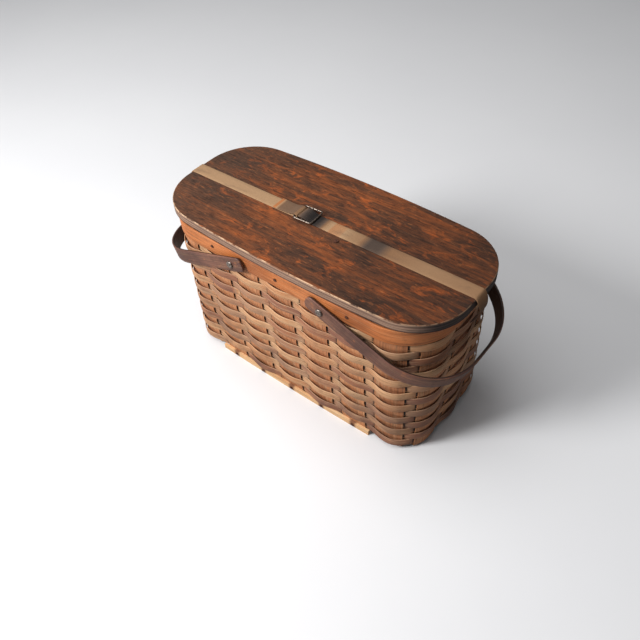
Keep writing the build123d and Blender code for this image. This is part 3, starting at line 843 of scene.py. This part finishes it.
# Buckle: bent wire
def wire_loop(name, corners, radius, closed=True):
    """A round wire along a polyline of points, in mm."""
    curve = bpy.data.curves.new(name, "CURVE")
    curve.dimensions = "3D"
    curve.bevel_depth = radius * mm
    curve.bevel_resolution = 4
    spline = curve.splines.new("POLY")
    spline.points.add(len(corners) - 1)
    for point, corner in zip(spline.points, corners):
        point.co = (*[c * mm for c in corner], 1)
    spline.use_cyclic_u = closed
    obj = bpy.data.objects.new(name, curve)
    bpy.context.scene.collection.objects.link(obj)
    return obj


buckle_left, buckle_right, centre_bar = -42.5, -10.5, -27.5
buckle_width, bar, buckle_lift, buckle_shift = 32.0, 2.4, 0.6, 1.3
buckle_middle = (buckle_left + buckle_right) / 2
buckle_y = strap_y + buckle_middle * math.sin(strap_turn) + buckle_shift
buckle_turn = math.radians(3)
bar_height = lid_top + strap_lift + strap_thickness + buckle_lift + bar / 2


def buckle_point(x, y):
    """A point of the buckle's own plane, in the frame."""
    c, s = math.cos(buckle_turn), math.sin(buckle_turn)
    return (buckle_middle + x * c - y * s, buckle_y + x * s + y * c, bar_height)


half_x = (buckle_right - buckle_left) / 2 - bar / 2
half_y = buckle_width / 2 - bar / 2
round_corner = 3.0
loop = []
buckle_corners = (
    (half_x, half_y, 0), (-half_x, half_y, 90), (-half_x, -half_y, 180), (half_x, -half_y, 270)
)
for cx, cy, start in buckle_corners:
    for step in range(0, 91, 15):
        a = math.radians(start + step)
        x = math.copysign(abs(cx) - round_corner, cx) + round_corner * math.cos(a)
        y = math.copysign(abs(cy) - round_corner, cy) + round_corner * math.sin(a)
        loop.append(buckle_point(x, y))
frame_wire = wire_loop("buckle_wire", loop, bar / 2)
bar_x = centre_bar - buckle_middle
bar_ends = [buckle_point(bar_x, -half_y), buckle_point(bar_x, half_y)]
centre_wire = wire_loop("buckle_bar", bar_ends, bar / 2, closed=False)
for piece in (frame_wire, centre_wire):
    wear(piece, iron)
    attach(piece, "lid")
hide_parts("buckle_frame")


# Floor, light and camera
bpy.ops.mesh.primitive_plane_add(size=8)
floor = bpy.context.object
floor.name = "floor"
ground = Nodes("floor_paper")
speck = ground.noise(ground.place("Object", (3, 3, 3)), 4, 0.5)
paper = ground.mix(linear(234, 234, 235), linear(227, 227, 229), speck)
seen = ground.tree.nodes.new("ShaderNodeLightPath").outputs["Is Camera Ray"]
wear(floor, ground.finish(ground.mix(linear(170, 168, 166), paper, seen), 0.9))


def area_light(name, place, aim, size, power):
    """A round white lamp that faces a point."""
    data = bpy.data.lights.new(name, "AREA")
    data.shape = "DISK"
    data.size = size
    data.energy = power
    lamp = bpy.data.objects.new(name, data)
    lamp.location = place
    lamp.rotation_euler = (Vector(aim) - Vector(place)).to_track_quat("-Z", "Y").to_euler()
    bpy.context.scene.collection.objects.link(lamp)


area_light("window", (-0.8, -1.4, 1.25), (0, 0, 0.1), 0.65, 39)
area_light("ceiling", (-0.6, -0.4, 2.4), (0, 0, 0), 2.6, 40)
world = bpy.data.worlds.new("sky")
world.use_nodes = True
background = world.node_tree.nodes["Background"]
background.inputs["Color"].default_value = (0.95, 0.97, 1.0, 1)
background.inputs["Strength"].default_value = 0.12
bpy.context.scene.world = world

# The camera stands where the basket's known lines fit the photo
camera_place = Vector((0.4916, -0.5751, 0.8554))
camera_aim = Vector((0.0706, -0.1025, 0.2000))
forward = (camera_aim - camera_place).normalized()
right_way = forward.cross(Vector((0, 0, 1))).normalized()
up_way = right_way.cross(forward)
roll = math.radians(-4.1)
level_right = math.cos(roll) * right_way + math.sin(roll) * up_way
level_up = -math.sin(roll) * right_way + math.cos(roll) * up_way
lens = bpy.data.cameras.new("camera")
lens.sensor_width = 36
lens.lens = 39.45
camera = bpy.data.objects.new("camera", lens)
turned = Matrix((level_right, level_up, -forward)).transposed().to_4x4()
camera.matrix_world = Matrix.Translation(camera_place) @ turned
bpy.context.scene.collection.objects.link(camera)
bpy.context.scene.camera = camera
bpy.context.scene.view_settings.view_transform = "Standard"
